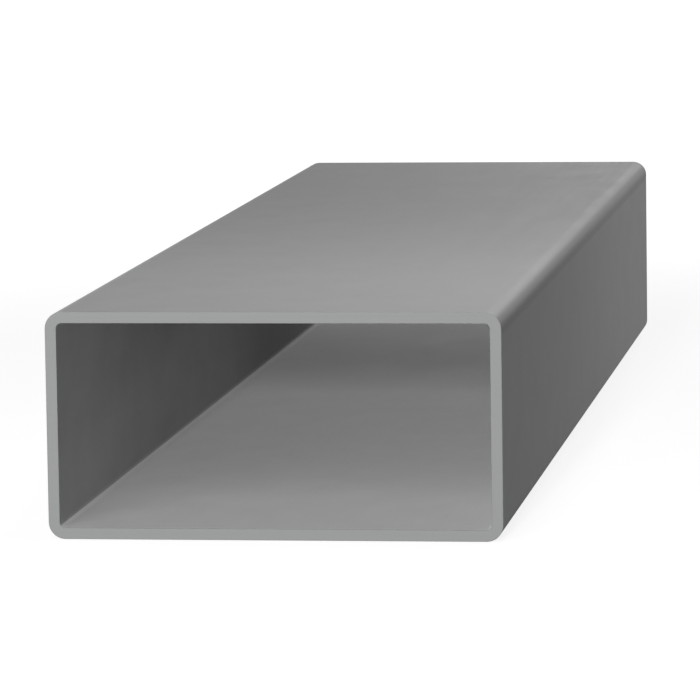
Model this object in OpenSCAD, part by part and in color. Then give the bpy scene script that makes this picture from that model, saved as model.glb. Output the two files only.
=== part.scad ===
// Rectangular hollow steel section: one straight piece of cold-formed tube,
// lying on a wide side, with both ends sawn square. The origin is at the
// middle of the footprint, +X runs across the section, +Y along the tube.

/* [Section] */
// Width across the section, over the outside faces
section_w = 100; // [40:1:200]
// Height of the section, over the outside faces
section_h = 50; // [20:1:120]
// Wall thickness, the same on the flats and round the bends
wall = 2.5; // [1:0.25:6]
// Radius on the inside of each corner bend
bend_inner_r = 1.25; // [0.5:0.25:3]

/* [Length] */
// Length from one sawn end to the other
tube_length = 400; // [50:10:6000]

/* [Hidden] */
// Each bend keeps the wall thickness, so its outside radius follows from it
bend_outer_r = bend_inner_r + wall;
// How far the cutter for the hollow runs past each sawn end
cut_past_end = 1;
$fn = 96;

// Solid bar along Y, centred on X and Y and standing on z = 0, whose four
// long edges are rounded to corner_r
module rounded_bar(bar_w, bar_h, bar_length, corner_r) {
    rotate([90, 0, 0])
        linear_extrude(height = bar_length, center = true)
            translate([0, bar_h / 2])
                union() {
                    square([bar_w - 2 * corner_r, bar_h], center = true);
                    square([bar_w, bar_h - 2 * corner_r], center = true);
                    for (side = [-1, 1], level = [-1, 1])
                        translate([side * (bar_w / 2 - corner_r), level * (bar_h / 2 - corner_r)])
                            circle(r = corner_r);
                }
}

// Outside of the section less its hollow, which runs right through
module tube() {
    color([0.58, 0.59, 0.58])
        difference() {
            rounded_bar(section_w, section_h, tube_length, bend_outer_r);
            translate([0, 0, wall])
                rounded_bar(section_w - 2 * wall, section_h - 2 * wall,
                            tube_length + 2 * cut_past_end, bend_inner_r);
        }
}

tube();
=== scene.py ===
import math

import bpy
from mathutils import Matrix, Vector


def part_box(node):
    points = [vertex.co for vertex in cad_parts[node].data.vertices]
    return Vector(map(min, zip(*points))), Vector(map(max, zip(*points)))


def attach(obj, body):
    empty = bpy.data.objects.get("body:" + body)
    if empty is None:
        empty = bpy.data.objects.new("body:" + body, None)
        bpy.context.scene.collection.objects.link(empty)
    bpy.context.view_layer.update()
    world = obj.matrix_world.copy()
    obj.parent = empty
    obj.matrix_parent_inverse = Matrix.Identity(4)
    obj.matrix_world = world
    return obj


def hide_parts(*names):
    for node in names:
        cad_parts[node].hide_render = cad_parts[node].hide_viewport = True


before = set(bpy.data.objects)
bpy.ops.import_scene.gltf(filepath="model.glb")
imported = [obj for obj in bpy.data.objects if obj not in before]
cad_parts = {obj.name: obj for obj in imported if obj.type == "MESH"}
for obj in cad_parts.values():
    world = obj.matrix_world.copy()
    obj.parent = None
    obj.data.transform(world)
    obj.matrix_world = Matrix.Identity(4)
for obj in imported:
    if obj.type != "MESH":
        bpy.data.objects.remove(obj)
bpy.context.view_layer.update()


# The tube is one steel strip, cold rolled into a rectangle with round bends and
# welded shut along a hidden side. Both ends are sawn square, and a file has
# taken the sharpness off their edges, inside and out.
tube_low, tube_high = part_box("tube")
section_width = tube_high.x - tube_low.x
section_height = tube_high.z - tube_low.z
tube_length = tube_high.y - tube_low.y
wall_thickness = 0.0025
bend_inner_radius = 0.00125
bend_outer_radius = bend_inner_radius + wall_thickness
filed_edge = 0.00015
facets_per_bend = 12
facets_per_filed_edge = 2
longest_facet = 0.005
flat_squareness = 0.9985
crisp_turn = math.radians(15.0)
quarter_turn = math.pi / 2

outside_grey = (0.349, 0.350, 0.354, 1.0)
# The inside grey is painted paler than the outside. This is painted light that stands in for the light the
# inside of the tube doesn't get.
inside_painted_pale_grey = (0.580, 0.581, 0.584, 1.0)
sawn_grey = (0.282, 0.286, 0.286, 1.0)
outside_roughness = 0.85
inside_roughness = 0.90
sawn_roughness = 0.75
roughness_spread = 0.1
steel_gloss = 0.2

# The skin is clouded and has fine lines along the tube. The sawn faces have the
# lines of the saw across them, and the skin has a faint grain.
cloud_size = 0.012
cloud_stretch = (1.0, 1.6, 1.0)
cloud_detail = 2.0
cloud_depth = 0.16
rolling_line_pitch = 0.0009
rolling_line_stretch = (1.0, 60.0, 1.0)
rolling_line_depth = 0.05
saw_line_pitch = 0.0005
saw_line_stretch = (80.0, 1.0, 1.0)
saw_line_depth = 0.08
line_detail = 3.0
grain_size = 0.0004
grain_stretch = (1.0, 1.0, 1.0)
grain_detail = 2.0
relief_height = 0.0001
relief_strength = 0.05

# Outside, the upper bends have a painted highlight, a pale stripe, and then painted
# shade, a darker line. Inside, the lower bends have a painted highlight that turns
# paler up to a crisp line, with painted shade just past it. A tone's place is 0
# where the flat top or floor ends, 2/3 where the side begins, and 1 a bend's radius
# farther on.
outer_bend_painted_light = (
    (0.0, 1.0), (0.10, 1.19), (0.20, 1.36), (0.28, 1.44),
    (0.40, 1.17), (0.53, 1.16),
    (0.66, 0.87), (0.76, 0.87), (0.80, 1.0),
)
inner_bend_painted_light = (
    (0.0, 1.0), (0.20, 1.24), (0.39, 1.55),
    (0.43, 1.0), (0.48, 0.85), (0.66, 1.0),
)


class Wire:
    """A socket in a node tree, on which sums written in Python add their Math nodes."""

    def __init__(self, tree, socket=None):
        self.tree = tree
        self.socket = socket

    def add(self, kind, settings=None, inputs=None, output=0):
        """Adds a node, sets its settings and then its inputs, and gives the wire that leaves it."""
        node = self.tree.nodes.new(kind)
        for name, value in (settings or {}).items():
            if name == "stops":
                self.set_stops(node.color_ramp.elements, value)
            else:
                setattr(node, name, value)
        for name, value in (inputs or {}).items():
            if isinstance(value, Wire):
                self.tree.links.new(value.socket, node.inputs[name])
            else:
                node.inputs[name].default_value = value
        return Wire(self.tree, node.outputs[output]) if node.outputs else None

    @staticmethod
    def set_stops(elements, stops):
        """Gives a ramp its stops, each a place from 0 to 1 and a grey."""
        while len(elements) < len(stops):
            elements.new(1.0)
        for element, (position, grey) in zip(elements, stops):
            element.position = position
            element.color = (grey, grey, grey, 1.0)

    def beside(self, output):
        """Another wire that leaves the same node."""
        return Wire(self.tree, self.socket.node.outputs[output])

    def parts(self, vector):
        """The X, Y and Z of a vector."""
        split = self.add("ShaderNodeSeparateXYZ", None, {"Vector": vector})
        return [split.beside(axis) for axis in "XYZ"]

    def maths(self, operation, first, second=0.0):
        """Adds a Math node."""
        return self.add("ShaderNodeMath", {"operation": operation}, {0: first, 1: second})

    def larger(self, other):
        """The larger of this and another."""
        return self.maths("MAXIMUM", self, other)

    def __add__(self, other):
        return self.maths("ADD", self, other)

    def __radd__(self, other):
        return self.maths("ADD", other, self)

    def __sub__(self, other):
        return self.maths("SUBTRACT", self, other)

    def __rsub__(self, other):
        return self.maths("SUBTRACT", other, self)

    def __mul__(self, other):
        return self.maths("MULTIPLY", self, other)

    def __rmul__(self, other):
        return self.maths("MULTIPLY", other, self)

    def __truediv__(self, other):
        return self.maths("DIVIDE", self, other)

    def __gt__(self, other):
        return self.maths("GREATER_THAN", self, other)

    def __lt__(self, other):
        return self.maths("LESS_THAN", self, other)

    def __abs__(self):
        return self.maths("ABSOLUTE", self)


rolled_steel = bpy.data.materials.new("rolled_steel")
rolled_steel.use_nodes = True
rolled_steel.node_tree.nodes.clear()
steel = Wire(rolled_steel.node_tree)

place = steel.add("ShaderNodeTexCoord", output="Object")
across, along, up = steel.parts(place)
off_centre = abs(across)
off_mid_height = abs(up - section_height / 2)
sawn = abs(along) > tube_length / 2 - filed_edge
past_mid_side = off_centre - (section_width - wall_thickness) / 2
past_mid_top = off_mid_height - (section_height - wall_thickness) / 2
inside = past_mid_side.larger(past_mid_top) < 0.0

# The way round a bend has three equal steps, each of a bend's radius: out to the
# side, down or up to where the side begins, and on along the side.
bend_radius = bend_outer_radius - wall_thickness * inside
round_to_side = (off_centre - (section_width / 2 - bend_outer_radius)) / bend_radius
round_to_top = (off_mid_height - (section_height / 2 - bend_outer_radius)) / bend_radius
round_bend = (1 + round_to_side.larger(0.0) - round_to_top.larger(-1.0)) / 3
# The bend tones are painted light: painted highlights and painted shade lines along the bends.
outer_painted_light = steel.add("ShaderNodeValToRGB", {"stops": outer_bend_painted_light}, {"Fac": round_bend}, "Color")
inner_painted_light = steel.add("ShaderNodeValToRGB", {"stops": inner_bend_painted_light}, {"Fac": round_bend}, "Color")
upper = up > section_height / 2
painted_bend_light = (outer_painted_light - 1) * upper * (1 - inside) + (inner_painted_light - 1) * (1 - upper) * inside


def mottle(spot_size, stretch, detail):
    """A noise from about -0.5 to 0.5, in spots of the given size times the stretch on each axis."""
    drawn_out = steel.add("ShaderNodeVectorMath", {"operation": "DIVIDE"}, {0: place, 1: stretch})
    noise = steel.add("ShaderNodeTexNoise", None,
                      {"Vector": drawn_out, "Scale": 1 / spot_size, "Detail": detail}, "Fac")
    return noise - 0.5


def blend(share, first, second):
    """The first grey where the share is 0, and the second where it is 1."""
    share_socket, first_socket, second_socket, blend_socket = 0, 6, 7, 2
    greys = {share_socket: share, first_socket: first, second_socket: second}
    return steel.add("ShaderNodeMix", {"data_type": "RGBA"}, greys, blend_socket)


clouds = mottle(cloud_size, cloud_stretch, cloud_detail)
rolling_lines = mottle(rolling_line_pitch, rolling_line_stretch, line_detail)
saw_lines = mottle(saw_line_pitch, saw_line_stretch, line_detail)
grain = mottle(grain_size, grain_stretch, grain_detail)

# The inside's paler grey here is painted light.
face_grey_with_painted_inside = blend(sawn, blend(inside, outside_grey, inside_painted_pale_grey), sawn_grey)
# The skin's tone holds the painted bend light as well as the clouds and rolling lines.
skin_tone_and_painted_light = 1 + painted_bend_light + cloud_depth * clouds + rolling_line_depth * rolling_lines
sawn_tone = 1 + saw_line_depth * saw_lines
tone_and_painted_light = skin_tone_and_painted_light + sawn * (sawn_tone - skin_tone_and_painted_light)
colour = steel.add("ShaderNodeVectorMath", {"operation": "SCALE"}, {0: face_grey_with_painted_inside, "Scale": tone_and_painted_light})
skin_roughness = outside_roughness + inside * (inside_roughness - outside_roughness)
skin_roughness = skin_roughness + roughness_spread * (clouds + rolling_lines)
roughness = skin_roughness + sawn * (sawn_roughness - skin_roughness)
height = grain + sawn * (saw_lines - grain)
relief = steel.add("ShaderNodeBump", None,
                   {"Strength": relief_strength, "Distance": relief_height, "Height": height}, "Normal")
surface = steel.add("ShaderNodeBsdfPrincipled", None,
                    {"Base Color": colour, "Roughness": roughness, "Specular IOR Level": steel_gloss,
                     "Normal": relief}, "BSDF")
steel.add("ShaderNodeOutputMaterial", None, {"Surface": surface})

sweep = bpy.data.node_groups.new("swept_wall", "GeometryNodeTree")
sweep.interface.new_socket(name="Tube", in_out="OUTPUT", socket_type="NodeSocketGeometry")
wall_inputs = {
    "Section Width": ("NodeSocketFloat", section_width),
    "Section Height": ("NodeSocketFloat", section_height),
    "Tube Length": ("NodeSocketFloat", tube_length),
    "Wall Thickness": ("NodeSocketFloat", wall_thickness),
    "Bend Inner Radius": ("NodeSocketFloat", bend_inner_radius),
    "Filed Edge": ("NodeSocketFloat", filed_edge),
    "Facets per Bend": ("NodeSocketInt", facets_per_bend),
    "Facets per Filed Edge": ("NodeSocketInt", facets_per_filed_edge),
    "Longest Facet": ("NodeSocketFloat", longest_facet),
    "Steel": ("NodeSocketMaterial", rolled_steel),
}
socket_ids = {
    name: sweep.interface.new_socket(name=name, in_out="INPUT", socket_type=kind).identifier
    for name, (kind, value) in wall_inputs.items()
}
wall = Wire(sweep)
given = wall.add("NodeGroupInput")
size = {name: given.beside(name) for name in wall_inputs}


def rounded_outline(width, height, radius, facets):
    """A closed rectangle with rounded corners, its straight sides cut into facets of even length."""
    rectangle = wall.add("GeometryNodeCurvePrimitiveQuadrilateral", None, {"Width": width, "Height": height})
    rounded = wall.add("GeometryNodeFilletCurve", {"mode": "POLY"},
                       {"Curve": rectangle, "Count": facets, "Radius": radius})
    here = wall.add("GeometryNodeInputPosition")
    next_point = wall.add("GeometryNodeOffsetPointInCurve", None, {"Offset": 1}, "Point Index")
    there = wall.add("GeometryNodeFieldAtIndex", {"data_type": "FLOAT_VECTOR"},
                     {"Value": here, "Index": next_point})
    reach = wall.add("ShaderNodeVectorMath", {"operation": "DISTANCE"}, {0: here, 1: there}, "Value")
    return wall.add("GeometryNodeSubdivideCurve", None,
                    {"Curve": rounded, "Cuts": reach / size["Longest Facet"]})


# A lengthwise slice of the wall is swept round the wall's middle line, standing on
# end, and the tube is then laid on its wide side.
middle_line = rounded_outline(size["Section Width"] - size["Wall Thickness"],
                              size["Section Height"] - size["Wall Thickness"],
                              size["Bend Inner Radius"] + size["Wall Thickness"] / 2,
                              size["Facets per Bend"])
wall_slice = rounded_outline(size["Wall Thickness"], size["Tube Length"], size["Filed Edge"],
                             size["Facets per Filed Edge"])
standing = wall.add("GeometryNodeCurveToMesh", None, {"Curve": middle_line, "Profile Curve": wall_slice})
lift = wall.add("ShaderNodeCombineXYZ", None, {"Z": size["Section Height"] / 2})
lying = wall.add("GeometryNodeTransform", None,
                 {"Geometry": standing, "Translation": lift, "Rotation": (quarter_turn, 0.0, 0.0)})

# Facets that face square to an axis are flat and the rest are smooth, but an edge
# that turns by more than the crisp turn stays sharp.
facing = wall.add("GeometryNodeInputNormal")
tilt = wall.add("ShaderNodeVectorMath", {"operation": "ABSOLUTE"}, {0: facing})
tilt_x, tilt_y, tilt_z = wall.parts(tilt)
squareness = tilt_x.larger(tilt_y).larger(tilt_z)
smooth = wall.add("GeometryNodeSetShadeSmooth", None,
                  {"Geometry": lying, "Shade Smooth": squareness < flat_squareness})
turn_over_edge = wall.add("GeometryNodeInputMeshEdgeAngle")
crisp = wall.add("GeometryNodeSetShadeSmooth", {"domain": "EDGE"},
                 {"Geometry": smooth, "Selection": turn_over_edge > crisp_turn, "Shade Smooth": False})
whole = wall.add("GeometryNodeRealizeInstances", None, {"Geometry": crisp})
steeled = wall.add("GeometryNodeSetMaterial", None, {"Geometry": whole, "Material": size["Steel"]})
wall.add("NodeGroupOutput", None, {"Tube": steeled})

steel_tube = bpy.data.objects.new("steel_tube", bpy.data.meshes.new("steel_tube"))
bpy.context.scene.collection.objects.link(steel_tube)
swept = steel_tube.modifiers.new("swept_wall", "NODES")
swept.node_group = sweep
for name, (kind, value) in wall_inputs.items():
    swept[socket_ids[name]] = value
depsgraph = bpy.context.evaluated_depsgraph_get()
steel_tube.data = bpy.data.meshes.new_from_object(steel_tube.evaluated_get(depsgraph))
steel_tube.modifiers.remove(swept)

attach(steel_tube, "root")
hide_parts("tube")


# The floor is a wide matt board, pale enough to photograph as white. It takes
# the tube's shadow where the tube lies on it.
floor_side = 16.0
floor_grey = (0.30, 0.30, 0.30, 1.0)
glow_by_tube = 0.86
glow_far_off = 1.0
glow_rises_from = 0.20
glow_rises_to = 0.60

floor_mesh = bpy.data.meshes.new("floor")
corners = [(x * floor_side / 2, y * floor_side / 2, 0.0) for x, y in ((-1, -1), (1, -1), (1, 1), (-1, 1))]
floor_mesh.from_pydata(corners, [], [(0, 1, 2, 3)])
floor = bpy.data.objects.new("floor", floor_mesh)
bpy.context.scene.collection.objects.link(floor)

pale_board = bpy.data.materials.new("pale_board")
pale_board.use_nodes = True
pale_board.node_tree.nodes.clear()
board = Wire(pale_board.node_tree)


def seen_by_eye(surroundings):
    """1 for rays that come from the camera or by way of gloss or glass, and 0 for the rest."""
    straight = surroundings.add("ShaderNodeLightPath", output="Is Camera Ray")
    return straight.larger(straight.beside("Is Glossy Ray")).larger(straight.beside("Is Transmission Ray"))


matt = board.add("ShaderNodeBsdfDiffuse", None, {"Color": floor_grey})
spot = board.add("ShaderNodeTexCoord", output="Object")
from_tube = board.add("ShaderNodeVectorMath", {"operation": "LENGTH"}, {0: spot}, "Value")
white = board.add("ShaderNodeMapRange", {"interpolation_type": "SMOOTHSTEP"},
                  {"Value": from_tube, "From Min": glow_rises_from, "From Max": glow_rises_to,
                   "To Min": glow_by_tube, "To Max": glow_far_off}, "Result")
glow = board.add("ShaderNodeEmission", None, {"Strength": white * seen_by_eye(board)})
lit_board = board.add("ShaderNodeAddShader", None, {0: matt, 1: glow})
board.add("ShaderNodeOutputMaterial", None, {"Surface": lit_board})
floor_mesh.materials.append(pale_board)


# The room is white all round to the eye, and in gloss and glass. As light it is
# only a dim, even fill.
room_fill = 0.08

room = bpy.data.worlds.new("room")
room.use_nodes = True
room.node_tree.nodes.clear()
bpy.context.scene.world = room
air = Wire(room.node_tree)
eye = seen_by_eye(air)
brightness = eye + (1 - eye) * room_fill
white_air = air.add("ShaderNodeBackground", None, {"Strength": brightness})
air.add("ShaderNodeOutputWorld", None, {"Surface": white_air})


# Six soft boxes light the tube: far off in front and behind, near before and above
# the sawn end, and right and left of the far end. A level is how bright a box makes
# a white card at its aim.
aim_height = 0.03
near_aim_along = -0.15
mouth = (0.0, -tube_length / 2, aim_height)
near_top = (section_width / 2, near_aim_along, section_height)
tail = (0.0, tube_length / 2, aim_height)
tail_side = (section_width / 2, tube_length / 2, aim_height)


def soft_box(name, aim, distance, heading, rise, side, level):
    """A square lamp that faces its aim. A heading of 0 degrees is in front of it, and 90 on its right."""
    flat = distance * math.cos(math.radians(rise))
    offset = Vector((flat * math.sin(math.radians(heading)), -flat * math.cos(math.radians(heading)),
                     distance * math.sin(math.radians(rise))))
    lamp = bpy.data.lights.new(name, "AREA")
    lamp.size = side
    lamp.energy = level * (math.pi * distance) ** 2
    box = bpy.data.objects.new(name, lamp)
    box.location = Vector(aim) + offset
    box.rotation_euler = offset.to_track_quat("Z", "Y").to_euler()
    box.visible_camera = False
    bpy.context.scene.collection.objects.link(box)


soft_box("front_box", mouth, distance=2.5, heading=-1.0, rise=10.0, side=0.10, level=0.73)
soft_box("near_box", mouth, distance=0.65, heading=-15.0, rise=25.0, side=0.40, level=0.41)
soft_box("top_box", near_top, distance=0.20, heading=0.0, rise=90.0, side=0.10, level=0.32)
soft_box("back_box", tail, distance=3.0, heading=180.3, rise=5.0, side=0.10, level=0.57)
soft_box("side_box", tail_side, distance=0.40, heading=90.0, rise=5.0, side=0.10, level=0.30)
soft_box("left_box", tail, distance=1.5, heading=270.0, rise=6.0, side=0.30, level=0.25)


# The camera stands in front of the sawn end, to the right and above. Its long lens
# draws the sawn face almost as a true rectangle.
camera_place = (0.1671, -1.2889, 0.1705)
camera_heading = math.radians(7.844)
camera_pitch = math.radians(-6.680)
camera_roll = math.radians(-0.819)
lens_length = 263.4
film_width = 36.0
nearest_seen = 0.05
farthest_seen = 100.0

lens = bpy.data.cameras.new("camera")
lens.sensor_width = film_width
lens.lens = lens_length
lens.clip_start = nearest_seen
lens.clip_end = farthest_seen
camera = bpy.data.objects.new("camera", lens)
turn = (Matrix.Rotation(camera_heading, 4, "Z")
        @ Matrix.Rotation(quarter_turn + camera_pitch, 4, "X")
        @ Matrix.Rotation(camera_roll, 4, "Z"))
camera.matrix_world = Matrix.Translation(camera_place) @ turn
bpy.context.scene.collection.objects.link(camera)
bpy.context.scene.camera = camera
bpy.context.scene.view_settings.view_transform = "Standard"
